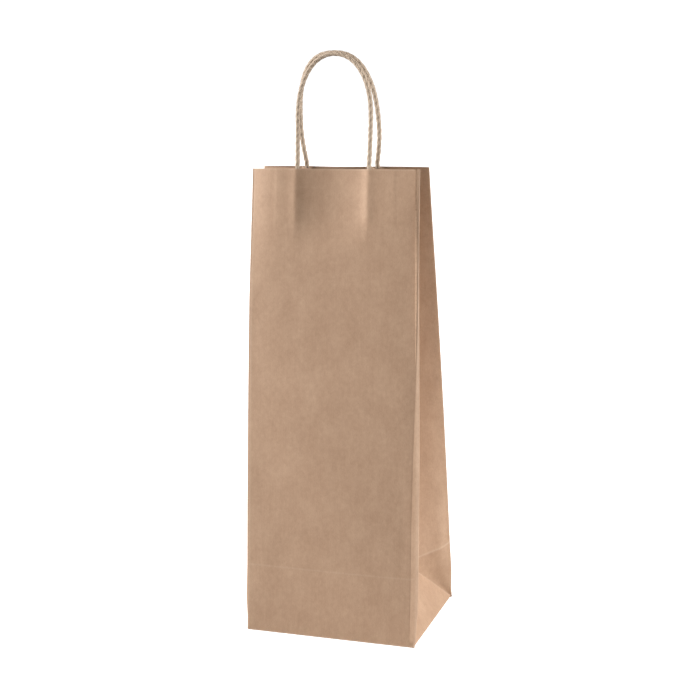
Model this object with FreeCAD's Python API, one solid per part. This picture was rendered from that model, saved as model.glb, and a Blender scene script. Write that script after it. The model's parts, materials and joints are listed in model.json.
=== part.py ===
import FreeCAD, Part
import math
import os
from FreeCAD import Matrix, Placement, Vector

# A tall paper carrier for one bottle: a folded kraft sheet with gusseted sides, a glued block
# bottom and two twisted-cord handles. It stands on Z = 0 with its mouth nearly closed.
# Millimetres. The origin is the centre of the base, +Z is up and the front panel faces -Y.

# ---- the folded sheet ----
BAG_WIDTH = 140.0  # side fold to side fold across the front
BAG_DEPTH = 104.0  # front fold to back fold across the base
PANEL_LENGTH = 370.0  # base fold to mouth, measured along the paper
MOUTH_GAP = 25.0  # front panel to back panel at the mouth, as the bag stands
MOUTH_GAP_CLOSED = 20.6  # the same gap when the two cord loops meet
PAPER = 0.25  # thickness of the sheet

# ---- the glued bottom and the long seam ----
BASE_OVERLAP = 10.0  # how far each long base flap passes the centre line
SEAM_WIDTH = 16.0  # glue flap of the long seam, inside the back panel
SEAM_SETBACK = 4.0  # from the side fold to the glue flap

# ---- the handles ----
CORD_RADIUS = 2.0  # twisted paper cord
CORD_SPACING = 60.0  # centre to centre of the two legs of a handle
CORD_ANCHORED = 41.0  # length of each leg glued between the patch layers
PATCH_WIDTH = 100.0  # paper patch that holds the cord to the panel
PATCH_HEIGHT = 45.0
PATCH_DROP = 0.5  # patch below the edge of the mouth
PIVOT_RISE = 4.0  # the cord bends this far beyond the edge of the mouth
BEND_LENGTH = 3.5  # bare cord that bends, between the glued leg and the loop
LOOP_LEAN = math.radians(3.1)  # the loops lean in towards each other
LEG_RISE = 40.0  # pivot to the start of the curved top
FRONT_LOOP = {"rise": 84.0, "bulge": 0.3, "sway": 1.3}
BACK_LOOP = {"rise": 86.0, "bulge": 3.0, "sway": -2.0}

# ---- clearances, so that the creased pieces can turn past each other ----
CREASE_GAP = 0.5  # paper removed on each side of a crease
FOLD_CLEARANCE = 0.1  # between two sheets that fold onto each other
GLUE_CLEARANCE = 0.05  # around the cord in its patch
BASE_SETBACK = 0.6  # each base layer is this much smaller than the one below it
MITRE_RELIEF = 1.2  # paper removed along the 45 degree creases of the foot
CENTRE_RELIEF_LOW = 3.9  # gusset paper removed at the centre crease, just above the foot
CENTRE_RELIEF_MOUTH = 6.2  # the same at the mouth
CENTRE_RELIEF_BOW = 2.6  # added halfway up, where the folding halves would cross most

# ---- worked-out geometry ----
HALF_WIDTH = BAG_WIDTH / 2
HALF_DEPTH = BAG_DEPTH / 2
LEAN = math.asin((HALF_DEPTH - MOUTH_GAP / 2) / PANEL_LENGTH)
LEAN_CLOSED = math.asin((HALF_DEPTH - MOUTH_GAP_CLOSED / 2) / PANEL_LENGTH)
FOOT_TILT = math.acos((1 - math.sin(LEAN)) / math.cos(LEAN))
CORD_DEPTH = 2 * PAPER + GLUE_CLEARANCE + CORD_RADIUS  # outer face of the panel to cord centre
CORD_SIDES = (("left", -CORD_SPACING / 2), ("right", CORD_SPACING / 2))

X_AXIS = Vector(1, 0, 0)
Y_AXIS = Vector(0, 1, 0)
Z_AXIS = Vector(0, 0, 1)
ORIGIN = Vector(0, 0, 0)
PANEL_UP = Vector(0, math.sin(LEAN), math.cos(LEAN))  # up the front panel
PANEL_IN = Vector(0, math.cos(LEAN), -math.sin(LEAN))  # square to it, into the bag
FRONT_FOLD = Vector(0, -HALF_DEPTH, 0)  # middle of the fold between base and front panel


def seen_from_outside(origin, across, up):
    """Frame of a sheet: local X across it, local Y up it, local Z out of the bag."""
    out = across.cross(up)
    rows = [
        (across.x, up.x, out.x, origin.x),
        (across.y, up.y, out.y, origin.y),
        (across.z, up.z, out.z, origin.z),
        (0, 0, 0, 1),
    ]
    return Placement(Matrix(*[value for row in rows for value in row]))


FRONT_FRAME = seen_from_outside(FRONT_FOLD, X_AXIS, PANEL_UP)


def flat_sheet(outline, frame, depth):
    """One layer of paper with its outer face this deep below the frame's XY plane."""
    points = [Vector(x, y, -depth) for x, y in outline]
    face = Part.Face(Part.makePolygon(points + points[:1]))
    sheet = face.extrude(Vector(0, 0, -PAPER))
    return sheet.transformGeometry(frame.toMatrix())


def rectangle(x_low, x_high, y_low, y_high):
    return [(x_low, y_low), (x_high, y_low), (x_high, y_high), (x_low, y_high)]


# ---- front panel and what is glued to it; the back ones are these turned half round ----
def panel():
    half = HALF_WIDTH - CREASE_GAP / 2
    outline = rectangle(-half, half, CREASE_GAP, PANEL_LENGTH)
    return flat_sheet(outline, FRONT_FRAME, 0)


def seam_flap():
    """Glue flap of the long seam, flat against the inner face of its panel."""
    outer = HALF_WIDTH - SEAM_SETBACK
    top = PANEL_LENGTH - PATCH_DROP
    outline = rectangle(outer - SEAM_WIDTH, outer, SEAM_SETBACK, top)
    return flat_sheet(outline, FRONT_FRAME, PAPER)


def patch_outer():
    """Layer of the handle patch that is glued to the panel."""
    top = PANEL_LENGTH - PATCH_DROP
    outline = rectangle(-PATCH_WIDTH / 2, PATCH_WIDTH / 2, top - PATCH_HEIGHT, top)
    return flat_sheet(outline, FRONT_FRAME, PAPER)


def ridged_edges(depth, radius):
    """Section across the patch, left to right: flat, with a half-round ridge over each cord."""
    edges = []
    start = Vector(-PATCH_WIDTH / 2, 0, -depth)
    for _, x in CORD_SIDES:
        foot = Vector(x - radius, 0, -depth)
        rise = Vector(x - radius, 0, -CORD_DEPTH)
        crest = Vector(x, 0, -CORD_DEPTH - radius)
        fall = Vector(x + radius, 0, -CORD_DEPTH)
        landing = Vector(x + radius, 0, -depth)
        edges.append(Part.makeLine(start, foot))
        edges.append(Part.makeLine(foot, rise))
        edges.append(Part.Arc(rise, crest, fall).toShape())
        edges.append(Part.makeLine(fall, landing))
        start = landing
    edges.append(Part.makeLine(start, Vector(PATCH_WIDTH / 2, 0, -depth)))
    return edges


def patch_inner():
    """Layer of the handle patch that covers the cord, formed over its two legs."""
    radius = CORD_RADIUS + GLUE_CLEARANCE
    lower = ridged_edges(2 * PAPER, radius)
    upper = ridged_edges(3 * PAPER, radius + PAPER)
    corners = [Vector(x, 0, -z) for x in (-PATCH_WIDTH / 2, PATCH_WIDTH / 2)
               for z in (2 * PAPER, 3 * PAPER)]
    ends = [Part.makeLine(corners[0], corners[1]), Part.makeLine(corners[2], corners[3])]
    face = Part.Face(Part.Wire(Part.__sortEdges__(lower + upper + ends)))
    layer = face.extrude(Vector(0, PATCH_HEIGHT, 0))
    layer.translate(Vector(0, PANEL_LENGTH - PATCH_DROP - PATCH_HEIGHT, 0))
    return layer.transformGeometry(FRONT_FRAME.toMatrix())


def cord_end(x):
    """Straight leg of cord between the patch layers, ending just outside the mouth."""
    top = PANEL_LENGTH + PIVOT_RISE - BEND_LENGTH
    low = PANEL_LENGTH - CORD_ANCHORED
    foot = FRONT_FOLD + X_AXIS * x + PANEL_UP * low + PANEL_IN * CORD_DEPTH
    return Part.makeCylinder(CORD_RADIUS, top - low, foot, PANEL_UP)


# ---- handle loops ----
def loop_point(side, height, width, shape):
    """A point on the centre line of the front handle, by its height above the pivot."""
    pivot = FRONT_FOLD + PANEL_UP * (PANEL_LENGTH + PIVOT_RISE) + PANEL_IN * CORD_DEPTH
    up = Vector(0, math.sin(LOOP_LEAN), math.cos(LOOP_LEAN))
    sway = shape["sway"] * height / shape["rise"]
    return pivot + up * height + X_AXIS * (side * width + sway)


def handle_loop(shape):
    """Cord above the pivot: two legs that bow out a little and a half-elliptic top."""
    leg_steps, top_steps = 3, 4
    half = CORD_SPACING / 2
    wide = half + shape["bulge"]
    legs = [(LEG_RISE * i / leg_steps, half + shape["bulge"] * math.sin(math.pi / 2 * i / leg_steps))
            for i in range(leg_steps)]
    turns = [math.pi / 2 * i / top_steps for i in range(top_steps)]
    top = [(LEG_RISE + (shape["rise"] - LEG_RISE) * math.sin(a), wide * math.cos(a)) for a in turns]
    profile = legs + top
    left = [loop_point(-1, height, width, shape) for height, width in profile]
    crown = [loop_point(0, shape["rise"], 0, shape)]
    right = [loop_point(1, height, width, shape) for height, width in reversed(profile)]
    centre = Part.BSplineCurve()
    centre.interpolate(left + crown + right)
    spine = Part.Wire(centre.toShape())
    start = centre.value(centre.FirstParameter)
    along = centre.tangent(centre.FirstParameter)[0]
    section = Part.Wire(Part.makeCircle(CORD_RADIUS, start, along))
    return spine.makePipeShell([section], True, False)


# ---- side gusset, front half of the right side; the others are mirrored or turned ----
def gusset_fold(up_panel, lean):
    """How far the gusset has turned inwards about the side fold, at this distance up the panel."""
    open_share = (HALF_DEPTH - up_panel * math.sin(lean)) / (HALF_DEPTH * math.cos(lean))
    return math.acos(open_share)


def gusset_row(up_panel):
    """Section across the half gusset, square to the side fold: a thin strip of paper."""
    fold = gusset_fold(up_panel, LEAN)
    across = PANEL_IN * math.cos(fold) - X_AXIS * math.sin(fold)
    outward = across.cross(PANEL_UP)
    edge = FRONT_FOLD + X_AXIS * HALF_WIDTH + PANEL_UP * up_panel
    share = (up_panel - HALF_DEPTH) / (PANEL_LENGTH - HALF_DEPTH)
    relief = CENTRE_RELIEF_LOW + (CENTRE_RELIEF_MOUTH - CENTRE_RELIEF_LOW) * share
    relief += CENTRE_RELIEF_BOW * math.sin(math.pi * share)
    near = (PAPER + FOLD_CLEARANCE) / math.cos(gusset_fold(up_panel, LEAN_CLOSED))
    far = HALF_DEPTH - relief
    corners = [
        edge + across * near,
        edge + across * far,
        edge + across * far + outward * PAPER,
        edge + across * near + outward * PAPER,
    ]
    return Part.makePolygon(corners + corners[:1])


def gusset_half():
    """Upper part of the half gusset: it twists inwards more and more towards the mouth."""
    rows = 7
    low = HALF_DEPTH + CREASE_GAP
    step = (PANEL_LENGTH - low) / (rows - 1)
    return Part.makeLoft([gusset_row(low + step * i) for i in range(rows)], True, False)


def gusset_corner():
    """Triangle between the side fold, the gusset crease and the 45 degree crease of the foot."""
    across = PANEL_IN * math.cos(FOOT_TILT) - X_AXIS * math.sin(FOOT_TILT)
    frame = seen_from_outside(FRONT_FOLD + X_AXIS * HALF_WIDTH, across, PANEL_UP)
    top = HALF_DEPTH - CREASE_GAP
    outline = [
        (CREASE_GAP, CREASE_GAP + MITRE_RELIEF),
        (top - MITRE_RELIEF, top),
        (CREASE_GAP, top),
    ]
    return flat_sheet(outline, frame, -PAPER)


def foot():
    """Triangle that rises from the side edge of the base to the foot of the centre crease."""
    up = Vector(-math.sin(FOOT_TILT), 0, math.cos(FOOT_TILT))
    frame = seen_from_outside(X_AXIS * HALF_WIDTH, Y_AXIS, up)
    half = HALF_DEPTH - MITRE_RELIEF - CREASE_GAP
    outline = [(-half, CREASE_GAP), (half, CREASE_GAP), (0, CREASE_GAP + half)]
    return flat_sheet(outline, frame, 0)


# ---- glued bottom: two triangles inside, two long flaps folded over them ----
def base_flap_long(layer):
    """Flap that folds in from the front edge of the base, mitred at 45 degrees."""
    setback = CREASE_GAP + BASE_SETBACK * layer
    near = -HALF_DEPTH + setback
    wide = HALF_WIDTH - setback
    narrow = wide - (BASE_OVERLAP - near)
    outline = [(-wide, near), (wide, near), (narrow, BASE_OVERLAP), (-narrow, BASE_OVERLAP)]
    return base_layer(outline, layer)


def base_flap_side(layer):
    """Triangle that folds in from the right edge of the base."""
    setback = CREASE_GAP + BASE_SETBACK * layer
    wide = HALF_WIDTH - setback
    half = HALF_DEPTH - setback
    return base_layer([(wide, -half), (wide, half), (wide - half, 0)], layer)


def base_layer(outline, layer):
    points = [Vector(x, y, PAPER * layer) for x, y in outline]
    return Part.Face(Part.makePolygon(points + points[:1])).extrude(Z_AXIS * PAPER)


# ---- placing and writing ----
def turned(shape):
    """The same piece on the opposite side of the bag, front to back and left to right."""
    copy = shape.copy()
    copy.rotate(ORIGIN, Z_AXIS, 180)
    return copy


def mirrored(shape):
    """The same piece on the other side, left to right."""
    return shape.mirror(ORIGIN, X_AXIS)


def write(name, shape):
    shape.exportStep("parts/" + name + ".step")


def write_panel(name, place, loop):
    write(name + "_panel", place(panel()))
    write(name + "_patch_outer", place(patch_outer()))
    write(name + "_patch_inner", place(patch_inner()))
    write(name + "_handle_loop", place(handle_loop(loop)))


def write_all():
    os.makedirs("parts", exist_ok=True)
    write_panel("front", lambda shape: shape, FRONT_LOOP)
    write_panel("back", turned, dict(BACK_LOOP, sway=-BACK_LOOP["sway"]))
    for side, x in CORD_SIDES:
        write("front_cord_end_" + side, cord_end(x))
        write("back_cord_end_" + side, turned(cord_end(-x)))
    write("seam_flap", turned(seam_flap()))
    for piece, shape in (("gusset", gusset_half()), ("corner", gusset_corner())):
        write(piece + "_front_right", shape)
        write(piece + "_front_left", mirrored(shape))
        write(piece + "_back_left", turned(shape))
        write(piece + "_back_right", turned(mirrored(shape)))
    write("foot_right", foot())
    write("foot_left", mirrored(foot()))
    write("base_flap_front", base_flap_long(0))
    write("base_flap_back", turned(base_flap_long(1)))
    write("base_flap_right", base_flap_side(2))
    write("base_flap_left", mirrored(base_flap_side(2)))


write_all()
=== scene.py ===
"""Looks of a kraft paper wine gift bag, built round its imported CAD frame.

Each piece of paper is a thin two-faced sheet bent along its own folds, and each handle is one
continuous cord of twisted paper. Lengths are in metres, and angles in radians where no comment
says degrees.
"""

import json
import math
from collections import namedtuple

import bpy
import numpy as np
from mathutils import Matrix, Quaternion, Vector


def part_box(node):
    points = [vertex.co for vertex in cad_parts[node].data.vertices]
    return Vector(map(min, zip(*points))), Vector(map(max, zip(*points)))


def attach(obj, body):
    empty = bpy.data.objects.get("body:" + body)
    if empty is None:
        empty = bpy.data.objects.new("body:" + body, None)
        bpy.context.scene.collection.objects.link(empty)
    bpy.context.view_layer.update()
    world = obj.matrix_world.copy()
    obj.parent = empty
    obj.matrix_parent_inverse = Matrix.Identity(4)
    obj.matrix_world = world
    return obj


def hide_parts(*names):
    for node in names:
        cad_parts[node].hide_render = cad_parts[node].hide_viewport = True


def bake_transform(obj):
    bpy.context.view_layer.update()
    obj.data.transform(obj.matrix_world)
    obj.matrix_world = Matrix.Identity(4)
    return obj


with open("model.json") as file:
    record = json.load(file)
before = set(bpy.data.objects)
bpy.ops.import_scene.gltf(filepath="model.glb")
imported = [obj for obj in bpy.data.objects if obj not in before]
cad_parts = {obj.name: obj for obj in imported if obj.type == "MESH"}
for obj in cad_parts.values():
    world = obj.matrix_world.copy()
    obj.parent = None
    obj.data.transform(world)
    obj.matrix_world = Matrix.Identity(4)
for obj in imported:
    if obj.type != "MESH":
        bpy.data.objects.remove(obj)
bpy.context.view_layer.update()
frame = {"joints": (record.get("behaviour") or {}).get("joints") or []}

MM = 0.001
SIDES = (("left", -1), ("right", 1))
JOINTS = {joint["name"]: joint for joint in frame["joints"]}


def joint_place(name):
    return np.array(JOINTS[name]["pos_m"])


def box_size(node):
    low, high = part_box(node)
    return np.array(high - low)


def box_middle(node):
    low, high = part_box(node)
    return np.array(high + low) / 2


# ---- sizes, read from the frame ----
FRONT_FOLD = joint_place("mouth")  # fold between the base and the front panel
HALF_DEPTH = -FRONT_FOLD[1]
HALF_WIDTH = joint_place("foot_right_fold")[0]
UP_PANEL = np.array(JOINTS["gusset_front_left_fold"]["axis"])
LEAN = math.atan2(UP_PANEL[1], UP_PANEL[2])  # of both panels, from upright
INTO_BAG = np.array([0, math.cos(LEAN), -math.sin(LEAN)])  # square to the front panel
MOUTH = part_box("front_panel")[1].z / math.cos(LEAN)  # length of the panel, base fold to mouth
PAPER = box_size("base_flap_front")[2]
FOOT_TILT = math.acos((1 - math.sin(LEAN)) / math.cos(LEAN))  # of the foot triangles, inwards
CORD_RADIUS = box_size("front_cord_end_left")[0] / 2
CORD_X = box_middle("front_cord_end_right")[0]
PATCH_HALF = box_size("front_patch_outer")[0] / 2
PATCH_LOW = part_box("front_patch_outer")[0].z / math.cos(LEAN)
PATCH_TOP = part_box("front_patch_outer")[1].z / math.cos(LEAN)
CORD_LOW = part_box("front_cord_end_left")[0].z / math.cos(LEAN)
SEAM_HALF = box_size("seam_flap")[0] / 2
SEAM_X = -box_middle("seam_flap")[0]
BASE_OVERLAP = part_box("base_flap_front")[1].y

# ---- how the paper is bent ----
BASE_ROLL = 0.9 * MM  # radius of the folds round the base
VALLEY_ROLL = 0.5 * MM  # radius of the centre crease of a gusset
ROLL_AT_MOUTH = 0.45 * MM  # radius of the side folds where they are tightest
ROLL_SOFTENS = 1.0 * MM  # what they gain near the foot
LIP_DEPTH = 0.36 * MM  # how far hidden strips of paper lie under the sheet beside them
LIP_LENGTH = 3 * MM  # how far the strip inside a side fold goes on along the panel
PAST_CREASE = 2.4 * MM  # how far the front half of a gusset goes on behind the back half
CREASE_UP = HALF_DEPTH + 0.8 * MM  # crease left by folding the base up flat, up the panel
CREASE_WIDTH = 0.5 * MM  # half width of the line it leaves
CREASE_REACH = 45 * MM  # distance above it over which the panel comes out again
PATCH_STEP = 0.16 * MM  # how far the edge of a patch shows through
CORD_SHIFT = -2.3 * MM  # both cords were glued in slightly left of the middle
RIDGE_LOW = CORD_LOW - 30 * MM  # where the panel starts to sink between the cords
RIDGE_HIGH = CORD_LOW + 14 * MM  # and where it has sunk all the way
CREST = 0.45 * MM  # how far paper stands proud over a glued cord
CREST_WIDTH = 4 * MM
OVER_CORD_FLAT = 1.2 * MM  # a patch lies flat on a cord this far from the cord's middle
OVER_CORD_EDGE = 5.7 * MM  # and is back down on the panel here
CURL_FROM = 44 * MM  # distance from the middle where the upper corners start to curl
CURL_LOW = 268 * MM  # height up the panel where they do
CURL_CLIMB = 100 * MM
FACET_AT_MOUTH = 0.4 * MM  # width of the strip beside a side fold that is already turned
FACET_WIDENS = 3.5 * MM  # what it gains near the foot
BULGE = 3.25 * MM  # how far the gusset stands out just above its foot
BULGE_FADE = 38 * MM
BLEND_LOW, BLEND_HIGH = -185 * MM, 455 * MM  # two heights up the panel, at which blend_window gives points

# bow: how far the middle of a panel stands out. curl: how far its upper corners bend in. facet:
# slope of the strip beside a side fold. spread: how far a side fold stands out past the flat
# width, near the foot and at the mouth. valley: how far the panel sinks between its cords.
# crease: how deep the base crease is pressed. Seen from outside, -1 is the left edge of a panel
# and 1 the right one.
FRONT = {
    "name": "front",
    "turn": 1,
    "bow": 2.2 * MM,
    "curl": {-1: 4.0 * MM, 1: 0.3 * MM},
    "facet": {-1: 0.0, 1: 1.08},
    "spread": {-1: (2.3 * MM, 1.6 * MM), 1: (1.9 * MM, 0.0)},
    "valley": 3.7 * MM,
    "crease": 1.3 * MM,
    "seed": 7,
}
BACK = {
    "name": "back",
    "turn": -1,
    "bow": 0.8 * MM,
    "curl": {-1: 1.2 * MM, 1: 0.8 * MM},
    "facet": {-1: 0.16, 1: 0.12},
    "spread": {-1: (2.2 * MM, 0.5 * MM), 1: (1.6 * MM, 0.5 * MM)},
    "valley": 2.2 * MM,
    "crease": 0.9 * MM,
    "seed": 19,
}
WALLS = (FRONT, BACK)


# ---- small maths ----
def eased(value, zero, one):
    """0 at and beyond zero, 1 at and beyond one, smooth between them; either may be the larger."""
    t = np.clip((value - zero) / (one - zero), 0, 1)
    return t * t * (3 - 2 * t)


def soft_ramp(t, rounding):
    """Zero below t = 0 and t above it, with the corner rounded off."""
    return (t + np.sqrt(t * t + rounding * rounding)) / 2


def hump(t):
    return np.exp(-t * t)


def waves(seed, across, up, shortest, longest, count=9):
    """Gentle unevenness from a few crossing waves, about 1 high at its peaks."""
    draw = np.random.RandomState(seed)
    total = 0
    for _ in range(count):
        length = draw.uniform(shortest, longest)
        heading = draw.uniform(0, 2 * math.pi)
        phase = draw.uniform(0, 2 * math.pi)
        ramp = across * math.cos(heading) + up * math.sin(heading)
        total = total + np.sin(2 * math.pi * ramp / length + phase) * length / longest
    return total / math.sqrt(count)


def steps(*stops):
    """Positions from (place, spacing) pairs: from each place to the next at about that spacing."""
    found = []
    for (low, spacing), (high, _) in zip(stops, stops[1:]):
        count = max(1, round(abs(high - low) / spacing))
        found.extend(np.linspace(low, high, count, endpoint=False))
    return np.array(found + [stops[-1][0]])


# ---- the shape of a panel, in its own coordinates: across, into the bag, up the panel ----
def to_frame(wall, across, depth, up):
    """Panel coordinates to the frame. The back panel is the front one turned half round."""
    across, depth, up = np.broadcast_arrays(across, depth, up)
    point = FRONT_FOLD + across[..., None] * [1, 0, 0]
    point = point + depth[..., None] * INTO_BAG + up[..., None] * UP_PANEL
    return point * [wall["turn"], wall["turn"], 1]


def cord_ridge(wall, x, up):
    """The paper stands proud over the glued cords and sinks between them."""
    reach = eased(up, RIDGE_LOW, RIDGE_HIGH)
    x = x - wall["turn"] * CORD_SHIFT
    valley = wall["valley"] * soft_ramp(1 - (x / CORD_X) ** 2, 0.05)
    crest = CREST * hump((np.abs(x) - CORD_X) / CREST_WIDTH)
    crest = crest * eased(up, CORD_LOW - 4 * MM, CORD_LOW + 4 * MM)
    return valley * reach - crest


def patch_step(x, up):
    """The edge of the glued patch shows faintly through the sheet."""
    half_step = 0.75 * MM
    beside = eased(np.abs(x), PATCH_HALF + half_step, PATCH_HALF - half_step)
    above = eased(up, PATCH_LOW - half_step, PATCH_LOW + half_step)
    return -PATCH_STEP * beside * above


def base_crease(wall, up):
    """A sharp crease left by folding the base flat, pressed a little into the bag."""
    away = np.sqrt((up - CREASE_UP) ** 2 + CREASE_WIDTH**2)
    below = np.clip(1 - away / CREASE_UP, 0, 1)
    above = np.exp(-away / CREASE_REACH)
    return wall["crease"] * np.where(up < CREASE_UP, below, above)


def facet_width(up):
    """Near the foot the paper begins to turn well before the side fold."""
    return FACET_AT_MOUTH + FACET_WIDENS * eased(up, 270 * MM, 70 * MM)


def edge_curl(wall, x, up):
    """The upper corners of a panel curl in towards the bag."""
    curl = np.where(x < 0, wall["curl"][-1], wall["curl"][1])
    bend = np.clip((np.abs(x) - CURL_FROM) / (HALF_WIDTH - CURL_FROM), 0, 1) ** 2.1
    return curl * bend * soft_ramp((up - CURL_LOW) / CURL_CLIMB, 0.06)


def edge_facet(wall, x, up):
    """A narrow strip beside the side fold slopes in before the fold itself."""
    slope = np.where(x < 0, wall["facet"][-1], wall["facet"][1])
    turned = np.abs(x) - (HALF_WIDTH - facet_width(up))
    return slope * soft_ramp(turned, 0.2 * MM) * eased(up, 0, 6.5 * MM)


def unevenness(wall, x, up):
    """Slight waves of handled paper, calmer along the folds."""
    inside = eased(np.abs(x), HALF_WIDTH, HALF_WIDTH - 12 * MM)
    calm = eased(up, 0, 30 * MM) * (0.3 + 0.7 * inside)
    broad = 0.30 * MM * waves(wall["seed"], x, up, 60 * MM, 150 * MM)
    fine = 0.05 * MM * waves(wall["seed"] + 1, x, up, 14 * MM, 34 * MM, 14)
    return calm * (broad + fine)


def panel_depth(wall, x, up):
    """How far the outer face of the panel lies inside its flat plane."""
    bow = wall["bow"] * (1 - (x / HALF_WIDTH) ** 2) * np.sin(math.pi * up / MOUTH)
    depth = edge_curl(wall, x, up) + edge_facet(wall, x, up) - bow
    depth = depth + cord_ridge(wall, x, up) + patch_step(x, up) + base_crease(wall, up)
    return (depth + unevenness(wall, x, up)) * eased(up, 0, 4 * MM)


def gusset_turn(up):
    """Angle of the gusset from square to the panel; it folds in more towards the mouth."""
    share = HALF_DEPTH - np.maximum(up, HALF_DEPTH) * math.sin(LEAN)
    return np.arccos(share / (HALF_DEPTH * math.cos(LEAN)))


def roll_radius(up):
    """Outer radius of the side folds: tight at the mouth, softer near the foot."""
    soft = eased(up, 250 * MM, 60 * MM) * eased(up, 0, 16 * MM)
    return ROLL_AT_MOUTH + ROLL_SOFTENS * soft


Roll = namedtuple("Roll", "edge, across, depth, radius, first, last")


def side_roll(wall, side, up):
    """The rounded side fold: the panel's edge, then its arc's centre, radius and two angles."""
    radius = roll_radius(up)
    low, high = wall["spread"][side]
    swell = low + (high - low) * eased(up, 120 * MM, 370 * MM)
    swell = swell * (0.2 + 0.8 * eased(up, 0, 30 * MM))
    edge = HALF_WIDTH - radius + swell
    short = 0.2 * MM
    depth = panel_depth(wall, side * edge, up)
    inner = panel_depth(wall, side * (edge - short), up)
    first = np.arctan((depth - inner) / short)
    across = edge - radius * np.sin(first)
    last = math.pi / 2 + gusset_turn(up)
    return Roll(edge, across, depth + radius * np.cos(first), radius, first, last)


def roll_arc(roll):
    """Points round a side fold from the panel to the gusset: distance out, and depth."""
    angle = roll.first + (roll.last - roll.first) * np.linspace(0, 1, 13)[None, 1:]
    return roll.across + roll.radius * np.sin(angle), roll.depth - roll.radius * np.cos(angle)


# ---- thin sheets ----
SHARP_FROM = math.radians(48)  # faces that meet at more than this angle are shaded apart


def grid_faces(rows, columns, start=0):
    index = np.arange(rows * columns).reshape(rows, columns) + start
    corners = index[:-1, :-1], index[:-1, 1:], index[1:, 1:], index[1:, :-1]
    return np.stack([c.ravel() for c in corners], axis=1)


def grid_normals(points):
    along_rows = np.gradient(points, axis=0)
    along_columns = np.gradient(points, axis=1)
    normal = np.cross(along_columns, along_rows)
    return normal / np.linalg.norm(normal, axis=2, keepdims=True)


def rim_faces(rows, columns):
    """A strip that joins the two faces of a sheet all the way round."""
    index = np.arange(rows * columns).reshape(rows, columns)
    ring = np.concatenate([index[0, :-1], index[:-1, -1], index[-1, :0:-1], index[:0:-1, 0]])
    following = np.roll(ring, -1)
    offset = rows * columns
    return np.stack([following, ring, ring + offset, following + offset], axis=1)


def finish_mesh(name, points, faces, attributes, materials, face_materials=None):
    mesh = bpy.data.meshes.new(name)
    mesh.from_pydata(points.tolist(), [], faces)
    for key, values in attributes.items():
        kind = "FLOAT_VECTOR" if values.ndim == 2 else "FLOAT"
        layer = mesh.attributes.new(key, kind, "POINT")
        layer.data.foreach_set("vector" if values.ndim == 2 else "value", values.ravel())
    for material in materials:
        mesh.materials.append(material)
    if face_materials is not None:
        mesh.polygons.foreach_set("material_index", face_materials)
    mesh.shade_smooth()
    mesh.set_sharp_from_angle(angle=SHARP_FROM)
    mesh.update()
    made = bpy.data.objects.new(name, mesh)
    bpy.context.scene.collection.objects.link(made)
    return made


def paper_sheet(name, points, outward, sheet, wear, materials):
    """A sheet of paper from a grid of points on its outer face, with an inner face and a rim."""
    rows, columns = points.shape[:2]
    normal = grid_normals(points)
    facing = np.sum(normal * outward) > 0
    if not facing:
        normal = -normal
    both = np.concatenate([points.reshape(-1, 3), (points - normal * PAPER).reshape(-1, 3)])
    outer = grid_faces(rows, columns)
    inner = grid_faces(rows, columns, rows * columns)[:, ::-1]
    rim = rim_faces(rows, columns)
    faces = np.concatenate([outer, inner, rim])
    if not facing:
        faces = faces[:, ::-1]
    used = np.repeat([0, 1, 0], [len(outer), len(inner), len(rim)]).astype(np.int32)
    attributes = {
        "sheet": np.tile(sheet.reshape(-1, 3), (2, 1)).astype(np.float32),
        "wear": np.tile(np.clip(wear, 0, 1).ravel(), 2).astype(np.float32),
    }
    return finish_mesh(name, both, faces.tolist(), attributes, materials, used)


def sheet_place(across, up, seed):
    """Where each point lies on the flat sheet, so that grain and fibres follow the paper."""
    across, up = np.broadcast_arrays(across, up)
    return np.stack([across + seed, up, np.full(across.shape, seed)], axis=-1)


def wear_line(distance, width, strength):
    """Wear along a fold or an edge, fading out over about this width on both sides."""
    return hump(distance / width) * strength


# ---- panels ----
def panel_rows():
    """Heights up the panel: the arc of the base fold, then the panel itself."""
    tangent = BASE_ROLL * math.tan((math.pi / 2 + LEAN) / 2)
    arc = np.linspace(math.pi / 2 + LEAN, 0, 9)[:-1]
    flat = steps(
        (tangent, 0.8 * MM), (6 * MM, 2 * MM), (CREASE_UP - 4 * MM, 0.5 * MM),
        (CREASE_UP + 4 * MM, 2.4 * MM), (CORD_LOW - 24 * MM, 1.6 * MM), (MOUTH, 1),
    )
    return tangent, arc, flat


def fold_foot(depth, up, tangent, arc):
    """Bends the first rows of a panel round the fold at its foot."""
    rows = len(arc)
    tilt = arc[:, None]
    layer = BASE_ROLL - np.minimum(depth[:rows], 0.9 * BASE_ROLL)
    depth[:rows] = BASE_ROLL - layer * np.cos(tilt)
    up[:rows] = tangent - layer * np.sin(tilt)


def panel_points(wall):
    """Outer face of a panel with both its rounded side folds and the fold at its foot."""
    tangent, arc, flat = panel_rows()
    up = np.concatenate([np.full(len(arc), tangent), flat])[:, None]
    left, right = (side_roll(wall, side, up) for side in (-1, 1))
    middle = steps((-1, 0.004), (-0.93, 0.018), (0.93, 0.004), (1, 1))[None, :]
    x = middle * np.where(middle < 0, left.edge, right.edge)
    depth = panel_depth(wall, x, up)
    left_x, left_depth = roll_arc(left)
    right_x, right_depth = roll_arc(right)
    x = np.concatenate([-left_x[:, ::-1], x, right_x], axis=1)
    depth = np.concatenate([left_depth[:, ::-1], depth, right_depth], axis=1)
    up = np.broadcast_to(up, x.shape).copy()
    fold_foot(depth, up, tangent, arc)
    return x, depth, up


def panel_wear(x, up):
    """Paler worn fibres along the folds and creases."""
    edge = wear_line(HALF_WIDTH - np.abs(x), 1.0 * MM, 0.22)
    crease = wear_line(up - CREASE_UP, 0.6 * MM, 0.14)
    foot = wear_line(up, 1.2 * MM, 0.2)
    mouth = wear_line(MOUTH - up, 0.5 * MM, 0.3)
    return np.maximum.reduce([edge, crease, foot, mouth])


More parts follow.
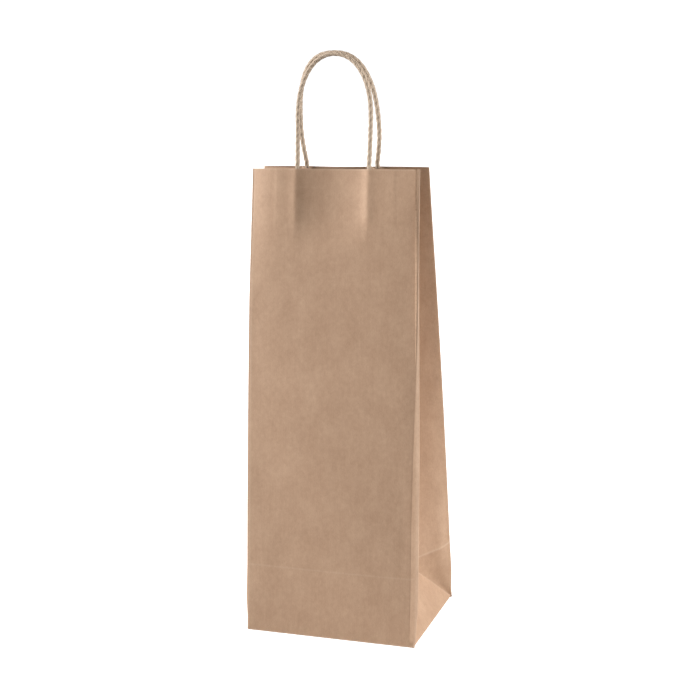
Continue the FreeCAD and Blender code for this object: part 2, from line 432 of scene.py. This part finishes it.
def panel_outward(wall):
    """Direction in which the outer face of a panel looks."""
    return to_frame(wall, 0.0, -1.0, 0.0) - to_frame(wall, 0.0, 0.0, 0.0)


def make_panel(wall, materials):
    x, depth, up = panel_points(wall)
    points = to_frame(wall, x, depth, up)
    name = wall["name"] + "_panel"
    sheet = sheet_place(x + np.sign(x) * np.maximum(depth, 0), up, wall["seed"])
    wear = panel_wear(x, up)
    piece = paper_sheet(name + "_sheet", points, panel_outward(wall), sheet, wear, materials)
    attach(piece, name)
    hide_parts(name)


# ---- side gussets, made for the front right and mirrored or turned ----
def to_gusset(x, depth, turn):
    """From panel coordinates about the side fold to along the gusset and out of its plane."""
    return depth * np.cos(turn) - x * np.sin(turn), x * np.cos(turn) + depth * np.sin(turn)


def gusset_start(wall, side, up):
    """Where the side fold hands over to the gusset: along the gusset and out of its plane."""
    roll = side_roll(wall, side, up)
    turn = gusset_turn(up)
    x = roll.across + roll.radius * np.cos(turn)
    depth = roll.depth + roll.radius * np.sin(turn)
    return to_gusset(x - HALF_WIDTH, depth, turn)


def gusset_place(wall, side, along, out, up):
    """From along the gusset and out of its plane to the frame."""
    turn = gusset_turn(up)
    x = HALF_WIDTH - along * np.sin(turn) + out * np.cos(turn)
    depth = along * np.cos(turn) + out * np.sin(turn)
    return to_frame(wall, side * x, depth, up)


def foot_bulge(along, remaining):
    """The paper stands out above the foot, most about a quarter of the way along the gusset."""
    return BULGE * eased(along, 0, 14 * MM) * remaining / HALF_DEPTH


def rounded_valley(along, out, turn):
    """Rounds the centre crease: an arc between the two halves of the gusset."""
    tangent = VALLEY_ROLL * np.tan(turn)
    to_crease = HALF_DEPTH - along
    angle = turn * np.clip(to_crease / tangent, 0, 1)
    centre = VALLEY_ROLL / np.cos(turn)
    arc_along = HALF_DEPTH - centre * np.sin(turn) + VALLEY_ROLL * np.sin(turn - angle)
    arc_out = centre * np.cos(turn) - VALLEY_ROLL * np.cos(turn - angle)
    inside = to_crease < tangent
    return np.where(inside, arc_along, along), out + np.where(inside, arc_out, 0)


def fold_lip(wall, side, up):
    """A strip of the gusset that goes on round inside the side fold and along the panel."""
    roll = side_roll(wall, side, up)
    share = np.linspace(1, 0, 9)[None, :-1]
    inner = roll.radius - LIP_DEPTH * eased(share, 1, 0.375)
    angle = roll.first + (roll.last - roll.first) * share
    x = roll.across + inner * np.sin(angle)
    depth = roll.depth - inner * np.cos(angle)
    flat = np.linspace(0, LIP_LENGTH, 5)[None, :]
    inner = roll.radius - LIP_DEPTH
    x_flat = roll.across + inner * np.sin(roll.first) - flat * np.cos(roll.first)
    depth_flat = roll.depth - inner * np.cos(roll.first) - flat * np.sin(roll.first)
    x = np.concatenate([x, x_flat], axis=1)[:, :0:-1]
    depth = np.concatenate([depth, depth_flat], axis=1)[:, :0:-1]
    return to_gusset(x - HALF_WIDTH, depth, gusset_turn(up))


def crease_lip(along, out, turn):
    """A strip of the front half that goes on past the centre crease, behind the back half."""
    past = np.linspace(0, PAST_CREASE, 6)[None, 1:]
    sunk = -LIP_DEPTH * eased(past, 0, 0.8 * MM)
    more_along = along[:, -1:] - sunk * np.sin(turn) + past * np.cos(turn)
    more_out = out[:, -1:] + sunk * np.cos(turn) + past * np.sin(turn)
    return more_along, more_out


def add_strips(grid, sheet, wear, before, after=None):
    """Joins hidden strips to a grid of along and out, and widens its attributes to match."""
    grids = [before, grid] if after is None else [before, grid, after]
    columns = before[0].shape[1], 0 if after is None else after[0].shape[1]
    along, out = (np.concatenate(parts, axis=1) for parts in zip(*grids))
    sheet = np.pad(sheet, ((0, 0), columns, (0, 0)), mode="edge")
    wear = np.pad(wear, ((0, 0), columns), mode="edge")
    return along, out, sheet, wear


def gusset_waves(wall, side, along, up):
    """Unevenness of one half of a gusset, broad and fine."""
    broad = 0.35 * MM * waves(wall["seed"] + side + 31, along, up, 45 * MM, 120 * MM)
    fine = 0.05 * MM * waves(wall["seed"] + side + 41, along, up, 14 * MM, 34 * MM)
    return broad + fine


def gusset_half_points(wall, side):
    """One half of a gusset, from the side fold to the centre crease, above the foot crease."""
    up = steps((HALF_DEPTH, 0.7 * MM), (HALF_DEPTH + 5 * MM, 2.8 * MM), (MOUTH, 1))[:, None]
    start, lift = gusset_start(wall, side, up)
    share = steps((0, 0.02), (0.12, 0.026), (0.9, 0.01), (1, 1))[None, :]
    along = start + (HALF_DEPTH - start) * share
    rise = up - HALF_DEPTH
    out = lift * eased(share, 0.85, 0)
    out = out + foot_bulge(along - start, HALF_DEPTH - along) * np.exp(-rise / BULGE_FADE)
    calm = np.sin(math.pi * share) * eased(rise, 0, 25 * MM)
    out = out + calm * gusset_waves(wall, side, along, up)
    wear = np.maximum(wear_line(rise, 0.7 * MM, 0.3), wear_line(HALF_DEPTH - along, 0.8 * MM, 0.15))
    sheet = sheet_place(HALF_WIDTH + along, up, wall["seed"] + 0.3 * side)
    turn = gusset_turn(up)
    along, out = rounded_valley(along, out, turn)
    past = crease_lip(along, out, turn) if wall is FRONT else None
    lip = fold_lip(wall, side, up)
    along, out, sheet, wear = add_strips((along, out), sheet, wear, lip, past)
    return gusset_place(wall, side, along, out, up), sheet, wear


def gusset_outward(wall, side):
    return np.array([side * wall["turn"], 0.0, 0.0])


def blend_window(wall):
    """Two points on the middle line of the panel, at the heights BLEND_LOW and BLEND_HIGH."""
    return (tuple(to_frame(wall, 0.0, 0.0, up).tolist()) for up in (BLEND_LOW, BLEND_HIGH))


def corner_name(wall, side):
    across = side * wall["turn"]
    return wall["name"] + ("_right" if across > 0 else "_left")


def make_gusset(wall, side, materials):
    points, sheet, wear = gusset_half_points(wall, side)
    name = "gusset_" + corner_name(wall, side)
    outward = gusset_outward(wall, side)
    piece = paper_sheet(name + "_sheet", points, outward, sheet, wear, materials)
    start, end = blend_window(wall)
    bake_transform(piece)
    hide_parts(name)


def corner_points(wall, side):
    """Triangle between the side fold, the crease above the foot and the diagonal crease."""
    up = steps((1.3 * MM, 0.7 * MM), (5 * MM, 1.6 * MM), (HALF_DEPTH, 1))[:, None]
    start, lift = gusset_start(wall, side, up)
    start = np.minimum(start, up - 0.2 * MM)
    share = np.linspace(0, 1, 34)[None, :]
    along = start + (up - start) * share
    out = lift * eased(share, 0.85, 0) + foot_bulge(along - start, up - along)
    diagonal = wear_line(up - along, 0.9 * MM, 0.25)
    wear = np.maximum(wear_line(HALF_DEPTH - up, 0.7 * MM, 0.3), diagonal)
    sheet = sheet_place(HALF_WIDTH + along, up, wall["seed"] + 0.3 * side)
    lip = fold_lip(wall, side, up)
    along, out, sheet, wear = add_strips((along, out), sheet, wear, lip)
    return gusset_place(wall, side, along, out, up), sheet, wear


def make_corner(wall, side, materials):
    points, sheet, wear = corner_points(wall, side)
    name = "corner_" + corner_name(wall, side)
    outward = gusset_outward(wall, side)
    piece = paper_sheet(name + "_sheet", points, outward, sheet, wear, materials)
    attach(piece, name)
    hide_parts(name)


# ---- foot triangles and base ----
def foot_points(side):
    """Triangle that rises from the side of the base to the lower end of the centre crease."""
    turn = math.pi / 2 + FOOT_TILT
    tangent = BASE_ROLL * math.tan(turn / 2)
    arc = np.linspace(turn, 0, 10)[:-1]
    flat = steps((tangent, 0.8 * MM), (5 * MM, 1.6 * MM), (HALF_DEPTH - 0.3 * MM, 1))
    up = np.concatenate([tangent - BASE_ROLL * np.sin(arc), flat])[:, None]
    depth = np.concatenate([BASE_ROLL * (1 - np.cos(arc)), 0 * flat])[:, None]
    across = np.linspace(-1, 1, 61)[None, :]
    reach = HALF_DEPTH - np.maximum(up, 0.4 * MM)
    y = across * reach
    calm = (1 - across**2) * eased(up, 0, 8 * MM) * eased(reach, 0, 14 * MM)
    depth = depth - calm * (0.5 * MM + 0.25 * MM * waves(53 + side, y, up, 30 * MM, 80 * MM))
    x = HALF_WIDTH - depth * math.cos(FOOT_TILT) - up * math.sin(FOOT_TILT)
    z = up * math.cos(FOOT_TILT) - depth * math.sin(FOOT_TILT)
    wear = np.maximum(wear_line(reach - np.abs(y), 0.9 * MM, 0.25), wear_line(up, 1.2 * MM, 0.2))
    points = np.stack([side * x, y, z], axis=-1)
    return points, sheet_place(y, up, 3.0 + side), wear


def make_foot(word, side, materials):
    points, sheet, wear = foot_points(side)
    outward = np.array([side, 0.0, 0.0])
    name = "foot_" + word
    piece = paper_sheet(name + "_sheet", points, outward, sheet, wear, materials)
    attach(piece, name)
    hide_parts(name)


def base_flap_points(half_length, near, far, layer, seed):
    """A flat flap of the glued bottom, between its fold and its free edge, mitred at 45 degrees."""
    share = np.linspace(0, 1, 40)[:, None]
    across = np.linspace(-1, 1, 80)[None, :]
    inward = near + (far - near) * share
    x = across * (half_length - (inward - near))
    lift = 0.03 * MM * (1 + waves(seed, x, inward, 20 * MM, 60 * MM) / 2)
    height = layer * PAPER + lift * eased(share, 0, 1 / 8)
    wear = np.maximum(wear_line(share, 1 / 30, 0.4), wear_line(1 - share, 1 / 60, 0.5)) + 0 * across
    return x, inward + 0 * across, height, sheet_place(x, inward, seed), wear


def make_base_flap(word, points, sheet, wear, materials):
    name = "base_flap_" + word
    piece = paper_sheet(name + "_sheet", points, [0, 0, -1], sheet, wear, materials)
    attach(piece, "base")
    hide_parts(name)


def make_base(materials):
    """Two long flaps glued over the two side triangles."""
    start = BASE_ROLL * math.tan((math.pi / 2 + LEAN) / 2)
    for wall, layer in ((FRONT, 0), (BACK, 1)):
        x, y, z, sheet, wear = base_flap_points(
            HALF_WIDTH - start, start - HALF_DEPTH, BASE_OVERLAP, layer, wall["seed"] + 2)
        points = np.stack([x * wall["turn"], y * wall["turn"], z], axis=-1)
        make_base_flap(wall["name"], points, sheet, wear, materials)
    start = BASE_ROLL * math.tan((math.pi / 2 + FOOT_TILT) / 2)
    for word, side in SIDES:
        y, inward, z, sheet, wear = base_flap_points(
            HALF_DEPTH - start, start, HALF_DEPTH - 0.4 * MM, 2, 5 + side)
        points = np.stack([side * (HALF_WIDTH - inward), y, z], axis=-1)
        make_base_flap(word, points, sheet, wear, materials)


# ---- patches and seam, glued inside the panels ----
def over_cords(wall, x, up):
    """How far paper is pushed off the panel where it passes over the two glued cords."""
    beside = np.abs(np.abs(x - wall["turn"] * CORD_SHIFT) - CORD_X)
    ridge = eased(beside, OVER_CORD_EDGE, OVER_CORD_FLAT)
    return 2 * CORD_RADIUS * ridge * eased(up, CORD_LOW - 5 * MM, CORD_LOW)


def inside_sheet(wall, name, x, up, depth, materials):
    """A glued sheet on the inner side of a panel; its outer face is the one towards the panel."""
    points = to_frame(wall, x, depth + panel_depth(wall, x, up), up)
    beside = np.minimum(x - x.min(), x.max() - x)
    edges = np.minimum(beside, np.minimum(up.max() - up, up - up.min()))
    wear = wear_line(edges, 0.5 * MM, 0.4)
    sheet = sheet_place(x, up, wall["seed"] + 0.7)
    piece = paper_sheet(name + "_sheet", points, panel_outward(wall), sheet, wear, materials)
    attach(piece, wall["name"] + "_panel")
    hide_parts(name)


def make_patches(wall, materials):
    """The cords lie between two layers of patch; the inner layer is drawn over them."""
    x = np.linspace(-PATCH_HALF, PATCH_HALF, 121)[None, :]
    up = np.linspace(PATCH_LOW, PATCH_TOP, 40)[:, None]
    wavy = 0.04 * MM * (1 + waves(wall["seed"] + 5, x, up, 12 * MM, 40 * MM))
    outer = 1.05 * PAPER
    inner = outer + PAPER + wavy + over_cords(wall, x, up)
    for layer, depth in (("outer", outer), ("inner", inner)):
        name = wall["name"] + "_patch_" + layer
        inside_sheet(wall, name, x, up, depth, materials)


def make_seam(materials):
    """Glue flap of the long seam, flat on the inner face of the back panel."""
    x = np.linspace(SEAM_X - SEAM_HALF, SEAM_X + SEAM_HALF, 15)[None, :]
    up = steps((1.5 * MM, 3 * MM), (MOUTH - 0.5 * MM, 1))[:, None]
    depth = 1.1 * PAPER + 0.05 * MM * (1 + waves(77, x, up, 20 * MM, 60 * MM))
    inside_sheet(BACK, "seam_flap", x, up, depth, materials)


# ---- twisted cords ----
TWIST_LENGTH = 17 * MM  # one full turn of the plies
PLIES = 3
CORD_SIDES = 44
RING_SPACING = 0.55 * MM
SMOOTHING_ROUNDS = 40
PLY_RADIUS = 0.94 * CORD_RADIUS  # outer radius of the twisted plies
GROOVE_DEPTH = 0.12  # shares of that radius
WRINKLE_DEPTH = 0.012
STANCE = {  # how each loop has settled: lean in degrees, lengths, and round, where 1 is elliptical
    "front": {"lift": 2.0 * MM, "lean": 3.4, "leg": 37 * MM, "round": 0.93,
              "sway": 3.4 * MM, "return": -1.6 * MM, "nod": -0.6 * MM},
    "back": {"lift": 0.8 * MM, "lean": 2.5, "leg": 26.5 * MM, "round": 0.8,
             "sway": -0.5 * MM, "return": -2.2 * MM, "nod": 0.7 * MM},
}


def loop_size(name, pivot):
    """Height above the pivot and half width of a loop's centre line, read from the frame."""
    low, high = (np.array(corner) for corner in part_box(name + "_handle_loop"))
    rise = high[2] - CORD_RADIUS - pivot[2] + STANCE[name]["lift"]
    wide = (high[0] - low[0]) / 2 - CORD_RADIUS
    return rise, wide


def loop_path(wall, pivot):
    """Centre line of a loop above its pivot, from left to right."""
    rise, wide = loop_size(wall["name"], pivot)
    stance = STANCE[wall["name"]]
    lean = math.radians(stance["lean"])
    leg, roundness = stance["leg"], stance["round"]
    climb = np.linspace(0, 1, 40, endpoint=False)
    over = np.linspace(0, math.pi, 240)
    leg_width = CORD_X + (wide - CORD_X) * np.sin(math.pi / 2 * climb)
    top = np.sin(over) ** roundness
    beside = np.sign(np.cos(over)) * np.abs(np.cos(over)) ** roundness
    height = np.concatenate([leg * climb, leg + (rise - leg) * top, leg * climb[::-1]])
    across = np.concatenate([-leg_width, -wide * beside, leg_width[::-1]])
    share = height / rise
    across = across + stance["sway"] * share + stance["return"] * share**2
    inward = wall["turn"] * (math.sin(lean) * height + stance["nod"] * share**2)
    path = np.stack([across, inward, math.cos(lean) * height], axis=1)
    return path + [CORD_SHIFT, pivot[1], pivot[2]]


def leg_path(wall, across):
    """Centre line of a glued leg, from its cut end up to just below the pivot."""
    up = np.linspace(CORD_LOW, MOUTH + 1.5 * MM, 30)
    x = wall["turn"] * (across + CORD_SHIFT)
    proud = panel_depth(wall, np.full(up.shape, x), np.minimum(up, MOUTH))
    fade = eased(up, MOUTH, MOUTH - 12 * MM)
    depth = 2.2 * PAPER + CORD_RADIUS + proud * fade
    return to_frame(wall, x, depth, up)


def even_steps(path, spacing):
    """The same path with evenly spaced points, smoothed a little."""
    length = np.concatenate([[0], np.cumsum(np.linalg.norm(np.diff(path, axis=0), axis=1))])
    at = np.linspace(0, length[-1], int(length[-1] / spacing) + 1)
    even = np.stack([np.interp(at, length, path[:, k]) for k in range(3)], axis=1)
    for _ in range(SMOOTHING_ROUNDS):
        even[1:-1] = (even[:-2] + 2 * even[1:-1] + even[2:]) / 4
    return even, at


def carried_frames(path):
    """Two directions square to the path, carried along it without twisting."""
    along = np.gradient(path, axis=0)
    along = along / np.linalg.norm(along, axis=1, keepdims=True)
    side = np.zeros_like(along)
    side[0] = np.cross(along[0], [0, 1, 0])
    side[0] /= np.linalg.norm(side[0])
    for i in range(1, len(path)):
        kept = side[i - 1] - along[i] * np.dot(side[i - 1], along[i])
        side[i] = kept / np.linalg.norm(kept)
    return side, np.cross(along, side)


def ply_groove(turned):
    """0 on the back of a ply and 1 in the groove between two plies."""
    return np.abs(np.cos(turned * PLIES / 2)) ** 3.5


def cord_wrinkles(turned, uneven):
    """Fine wrinkles along the plies, between -1.6 and 1.6."""
    broad = np.sin(7 * turned + 1.7 * np.sin(3 * turned) + 3 * uneven)
    return broad + 0.6 * np.sin(13 * turned + 4 * uneven)


def cord_surface(path, at, seed):
    """Twisted plies: each turn of the cord carries the same grooves and fine wrinkles round."""
    side, other = carried_frames(path)
    angle = np.linspace(0, 2 * math.pi, CORD_SIDES + 1)[None, :-1]
    uneven = waves(seed, at, 0 * at, 18 * MM, 60 * MM)
    twist = 2 * math.pi * at / TWIST_LENGTH + 0.35 * uneven
    turned = angle - twist[:, None]
    groove = ply_groove(turned)
    wrinkle = cord_wrinkles(turned, uneven[:, None])
    thick = 1 + 0.03 * waves(seed + 1, at, 0 * at, 9 * MM, 40 * MM)
    relief = 1 - GROOVE_DEPTH * groove + WRINKLE_DEPTH * wrinkle
    radius = PLY_RADIUS * thick[:, None] * relief
    circle = np.cos(angle)[..., None] * side[:, None] + np.sin(angle)[..., None] * other[:, None]
    points = path[:, None] + radius[..., None] * circle
    along = at[:, None] * 0.12 + 0 * turned + seed
    strand = [np.cos(turned) * CORD_RADIUS, np.sin(turned) * CORD_RADIUS, along]
    return points, groove, np.stack(strand, axis=-1)


def tube_faces(rings, sides):
    index = np.arange(rings * sides).reshape(rings, sides)
    after = np.roll(index, -1, axis=1)
    walls = np.stack([index[:-1], after[:-1], after[1:], index[1:]], axis=-1).reshape(-1, 4)
    return walls.tolist() + [index[0, ::-1].tolist(), index[-1].tolist()]


def make_cord(wall, material):
    """One cord from cut end to cut end: a glued leg, the loop and the other leg."""
    name = wall["name"]
    pivot = joint_place(name + "_handle_swing")
    left = leg_path(wall, -CORD_X)
    right = leg_path(wall, CORD_X)[::-1]
    path, at = even_steps(np.concatenate([left, loop_path(wall, pivot), right]), RING_SPACING)
    points, groove, strand = cord_surface(path, at, wall["seed"] + 60)
    attributes = {
        "groove": groove.ravel().astype(np.float32),
        "strand": strand.reshape(-1, 3).astype(np.float32),
    }
    faces = tube_faces(*groove.shape)
    piece = finish_mesh(name + "_cord", points.reshape(-1, 3), faces, attributes, [material])
    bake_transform(piece)
    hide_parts(name + "_handle_loop", name + "_cord_end_left", name + "_cord_end_right")


# ---- materials, with colours as linear red, green and blue ----
OUTSIDE = {"dark": (0.375, 0.225, 0.135), "light": (0.56, 0.37, 0.245), "worn": (0.72, 0.55, 0.42)}
INSIDE = {"dark": (0.31, 0.18, 0.11), "light": (0.46, 0.30, 0.195), "worn": (0.6, 0.45, 0.34)}
PATCH = {"dark": (0.35, 0.21, 0.125), "light": (0.52, 0.34, 0.225), "worn": (0.66, 0.5, 0.38)}
CORD_DARK, CORD_LIGHT = (0.44, 0.33, 0.235), (0.72, 0.59, 0.46)
# the groove and rim colours are painted shade, for the grooves and for the cord's outline
CORD_GROOVE_SHADE, CORD_RIM_SHADE = (0.24, 0.16, 0.10), (0.20, 0.13, 0.085)


def add_node(tree, kind, inputs, **settings):
    made = tree.nodes.new("ShaderNode" + kind)
    for key, value in settings.items():
        setattr(made, key, value)
    for key, value in inputs.items():
        if isinstance(value, bpy.types.NodeSocket):
            tree.links.new(value, made.inputs[key])
        else:
            made.inputs[key].default_value = value
    return made


def noise(tree, place, size, detail=2.0, roughness=0.55, offset=0.0):
    """Noise whose features have about this size (x, y) on the sheet; its output is 0 to 1."""
    scale = (1 / size[0], 1 / size[1], 1 / size[-1])
    mapped = add_node(tree, "Mapping", {"Vector": place, "Scale": scale,
                                        "Location": (offset, offset, offset)})
    made = add_node(tree, "TexNoise", {"Vector": mapped.outputs[0], "Scale": 1.0,
                                       "Detail": detail, "Roughness": roughness})
    return made.outputs["Fac"]


def maths(tree, operation, first, second, third=None):
    inputs = {0: first, 1: second}
    if third is not None:
        inputs[2] = third
    return add_node(tree, "Math", inputs, operation=operation).outputs[0]


def weighted(tree, parts, middle=0.5):
    """middle plus each part's distance from one half, times its weight."""
    total = middle - sum(weight for _, weight in parts) / 2
    for value, weight in parts:
        total = maths(tree, "MULTIPLY_ADD", value, weight, total)
    return total


def colour_ramp(tree, value, stops):
    made = add_node(tree, "ValToRGB", {"Fac": value})
    elements = made.color_ramp.elements
    while len(elements) < len(stops):
        elements.new(0.5)
    for element, (place, colour) in zip(elements, stops):
        element.position = place
        element.color = (*colour, 1)
    return made.outputs["Color"]


def mix_colour(tree, share, first, second):
    made = add_node(tree, "Mix", {"Factor": share}, data_type="RGBA", blend_type="MIX")
    for socket, value in ((made.inputs[6], first), (made.inputs[7], second)):
        if isinstance(value, bpy.types.NodeSocket):
            tree.links.new(value, socket)
        else:
            socket.default_value = (*value, 1)
    return made.outputs[2]


def start_material(name):
    """A new material with its node tree and its Principled shader."""
    material = bpy.data.materials.new(name)
    material.use_nodes = True
    tree = material.node_tree
    shader = tree.nodes["Principled BSDF"]
    return material, tree, shader


def finish_surface(tree, shader, colour, rough, height, depth):
    bumps = add_node(tree, "Bump", {"Height": height, "Strength": 0.6, "Distance": depth})
    tree.links.new(colour, shader.inputs["Base Color"])
    tree.links.new(rough, shader.inputs["Roughness"])
    tree.links.new(bumps.outputs[0], shader.inputs["Normal"])


def kraft(name, dark, light, worn, offset=0.0):
    """Unbleached kraft: cloudy formation, streaks up the sheet, fine fibres and odd flecks."""
    material, tree, shader = start_material(name)
    place = add_node(tree, "Attribute", {}, attribute_name="sheet").outputs["Vector"]
    wear = add_node(tree, "Attribute", {}, attribute_name="wear").outputs["Fac"]
    cloud = noise(tree, place, (16 * MM, 24 * MM), 3, offset=offset)
    formation = noise(tree, place, (3.2 * MM, 4.2 * MM), 4, 0.6, offset)
    streak = noise(tree, place, (1.1 * MM, 30 * MM), 2, offset=offset)
    fibre = noise(tree, place, (0.32 * MM, 1.5 * MM), 3, 0.65, offset)
    fleck = noise(tree, place, (0.55 * MM, 0.9 * MM), 1, 0.5, offset + 5)
    tone = weighted(tree, [(cloud, 0.5), (formation, 0.5), (streak, 0.16), (fibre, 0.6)])
    colour = colour_ramp(tree, tone, ((0.15, dark), (0.85, light)))
    speck = add_node(tree, "MapRange", {"Value": fleck, 1: 0.68, 2: 0.8, 3: 0.0, 4: 0.4})
    colour = mix_colour(tree, speck.outputs[0], colour, tuple(c * 0.62 for c in dark))
    rubbed = maths(tree, "MULTIPLY", wear, maths(tree, "ADD", fibre, 0.35))
    colour = mix_colour(tree, rubbed, colour, worn)
    rough = maths(tree, "MULTIPLY_ADD", formation, 0.25, 0.55)
    height = weighted(tree, [(fibre, 0.9), (formation, 0.6), (streak, 0.3)])
    finish_surface(tree, shader, colour, rough, height, 0.09 * MM)
    shader.inputs["Specular IOR Level"].default_value = 0.4
    return material


def cord_paper(name):
    """Twisted paper: fibres run with the plies, with shade painted darker into the grooves and
    towards the outline.
    """
    material, tree, shader = start_material(name)
    strand = add_node(tree, "Attribute", {}, attribute_name="strand").outputs["Vector"]
    groove = add_node(tree, "Attribute", {}, attribute_name="groove").outputs["Fac"]
    fine = noise(tree, strand, (0.4 * MM, 0.4 * MM, 0.6 * MM), 2, 0.5)
    blotch = noise(tree, strand, (1.6 * MM, 1.6 * MM, 1.2 * MM), 2, offset=3)
    tone = weighted(tree, [(fine, 0.6), (blotch, 0.5)])
    colour = colour_ramp(tree, tone, ((0.2, CORD_DARK), (0.8, CORD_LIGHT)))
    # painted shade: the grooves between the plies are coloured darker, as if in shadow
    sunk = maths(tree, "MULTIPLY", groove, 0.45)
    colour = mix_colour(tree, sunk, colour, CORD_GROOVE_SHADE)
    # painted shade: the cord is coloured darker towards its outline, where it turns away from the
    # camera
    rim = add_node(tree, "LayerWeight", {"Blend": 0.5}).outputs["Facing"]
    rim = maths(tree, "MULTIPLY", maths(tree, "POWER", rim, 1.2), 0.9)
    colour = mix_colour(tree, rim, colour, CORD_RIM_SHADE)
    rough = maths(tree, "MULTIPLY_ADD", fine, 0.2, 0.6)
    finish_surface(tree, shader, colour, rough, fine, 0.04 * MM)
    shader.inputs["Specular IOR Level"].default_value = 0.35
    return material


# ---- studio ----
SOFTBOXES = {  # azimuth and elevation in degrees, strength, and apparent size in degrees
    "left_softbox": (-76, 16, 6.0, 36),
    "right_softbox": (103, 14, 4.1, 38),
    "top_softbox": (20, 84, 1.0, 34),
}
FLOOR_RADIUS = 9.0
FLOOR_DROP = 0.2 * MM  # the floor lies this far under the bag
FLOOR_GLOW = 0.82  # light added to what the camera sees of it, so that it looks white
AMBIENT = 0.05  # strength of the surroundings as a light
WHITE = 1.1  # and to the eye
CAMERA_PLACE = (0.38054, -0.98648, 0.45217)
CAMERA_ANGLES = (16.75, 7.14, -1.02)  # azimuth, elevation and roll in degrees
CAMERA_LENS = 68.74  # focal length in millimetres
LENS_SHIFT = {"shift_x": -0.1324, "shift_y": -0.1776}  # in widths of the frame
SHIFT_ENDS = 20 * MM  # a camera this far from its place has no lens shift left


def towards(azimuth, elevation):
    """Direction from the bag, from angles in degrees; azimuth 0 is straight in front."""
    a, e = math.radians(azimuth), math.radians(elevation)
    return Vector((math.sin(a) * math.cos(e), -math.cos(a) * math.cos(e), math.sin(e)))


def make_softbox(name, azimuth, elevation, strength, spread):
    """A broad soft light, like a large softbox far away."""
    lamp = bpy.data.lights.new(name, "SUN")
    lamp.energy = strength
    lamp.angle = math.radians(spread)
    made = bpy.data.objects.new(name, lamp)
    made.rotation_mode = "QUATERNION"
    made.rotation_quaternion = towards(azimuth, elevation).to_track_quat("Z", "Y")
    bpy.context.scene.collection.objects.link(made)


def floor_material():
    """Matt and pale, white to the camera, and clear from below and for very short rays."""
    material, tree, shader = start_material("pale_floor")
    shader.inputs["Base Color"].default_value = (0.6, 0.6, 0.6, 1)
    shader.inputs["Roughness"].default_value = 0.9
    shader.inputs["Specular IOR Level"].default_value = 0.0
    shader.inputs["Emission Color"].default_value = (1, 1, 1, 1)
    path = add_node(tree, "LightPath", {}).outputs
    glow = maths(tree, "MULTIPLY", path["Is Camera Ray"], FLOOR_GLOW)
    tree.links.new(glow, shader.inputs["Emission Strength"])
    below = add_node(tree, "NewGeometry", {}).outputs["Backfacing"]
    touching = maths(tree, "LESS_THAN", path["Ray Length"], 3 * MM)
    share = maths(tree, "MAXIMUM", below, touching)
    clear = add_node(tree, "BsdfTransparent", {}).outputs[0]
    seen_through = add_node(tree, "MixShader", {0: share, 1: shader.outputs[0], 2: clear})
    tree.links.new(seen_through.outputs[0], tree.nodes["Material Output"].inputs["Surface"])
    return material


def make_floor():
    angles = np.linspace(0, 2 * math.pi, 64, endpoint=False)
    ring = [(FLOOR_RADIUS * math.cos(a), FLOOR_RADIUS * math.sin(a), -FLOOR_DROP) for a in angles]
    mesh = bpy.data.meshes.new("floor")
    mesh.from_pydata(ring, [], [list(range(len(ring)))])
    mesh.materials.append(floor_material())
    made = bpy.data.objects.new("floor", mesh)
    bpy.context.scene.collection.objects.link(made)


def make_world():
    """Even white surroundings: full white to the eye and from below, weaker as a light."""
    world = bpy.data.worlds.new("studio")
    bpy.context.scene.world = world
    world.use_nodes = True
    tree = world.node_tree
    background = tree.nodes["Background"]
    background.inputs["Color"].default_value = (1, 1, 1, 1)
    seen = add_node(tree, "LightPath", {}).outputs["Is Camera Ray"]
    strength = maths(tree, "MULTIPLY_ADD", seen, WHITE - AMBIENT, AMBIENT)
    direction = add_node(tree, "TexCoord", {}).outputs["Generated"]
    height = add_node(tree, "SeparateXYZ", {0: direction}).outputs["Z"]
    strength = maths(tree, "MAXIMUM", strength, maths(tree, "LESS_THAN", height, 0.0))
    tree.links.new(strength, background.inputs["Strength"])


def make_studio():
    make_floor()
    make_world()
    for name, settings in SOFTBOXES.items():
        make_softbox(name, *settings)


def fade_lens_shift(camera):
    """The lens shift belongs to this viewpoint: it fades out as the camera moves away from it."""
    marker = bpy.data.objects.new("viewpoint", None)
    marker.location = camera.location
    bpy.context.scene.collection.objects.link(marker)
    for name, amount in LENS_SHIFT.items():
        curve = camera.data.driver_add(name)
        curve.driver.type = "SUM"
        away = curve.driver.variables.new()
        away.type = "LOC_DIFF"
        away.targets[0].id, away.targets[1].id = camera, marker
        for ramp in list(curve.modifiers):
            curve.modifiers.remove(ramp)
        curve.keyframe_points.add(2)
        near, far = curve.keyframe_points
        near.co, near.interpolation = (0.0, amount), "LINEAR"
        far.co, far.interpolation = (SHIFT_ENDS, 0.0), "LINEAR"
        curve.extrapolation = "CONSTANT"


def make_camera():
    """A product shot through a shifted lens, from the right and as high as the handles."""
    lens = bpy.data.cameras.new("camera")
    lens.lens = CAMERA_LENS
    lens.clip_start, lens.clip_end = 0.05, 50
    made = bpy.data.objects.new("camera", lens)
    azimuth, elevation, roll = CAMERA_ANGLES
    upright = (-towards(azimuth, elevation)).to_track_quat("-Z", "Y")
    made.location = CAMERA_PLACE
    made.rotation_mode = "QUATERNION"
    made.rotation_quaternion = upright @ Quaternion((0, 0, 1), math.radians(roll))
    bpy.context.scene.collection.objects.link(made)
    bpy.context.scene.camera = made
    fade_lens_shift(made)


def make_bag():
    outside = kraft("kraft_outside", **OUTSIDE)
    inside = kraft("kraft_inside", **INSIDE, offset=9.0)
    patch = kraft("kraft_patch", **PATCH, offset=17.0)
    cord = cord_paper("cord_paper")
    paper = [outside, inside]
    for wall in WALLS:
        make_panel(wall, paper)
        make_patches(wall, [patch, patch])
        make_cord(wall, cord)
        for _, side in SIDES:
            make_gusset(wall, side, paper)
            make_corner(wall, side, paper)
    for word, side in SIDES:
        make_foot(word, side, paper)
    make_seam(paper)
    make_base(paper)


make_bag()
make_studio()
make_camera()
bpy.context.scene.view_settings.view_transform = "Standard"
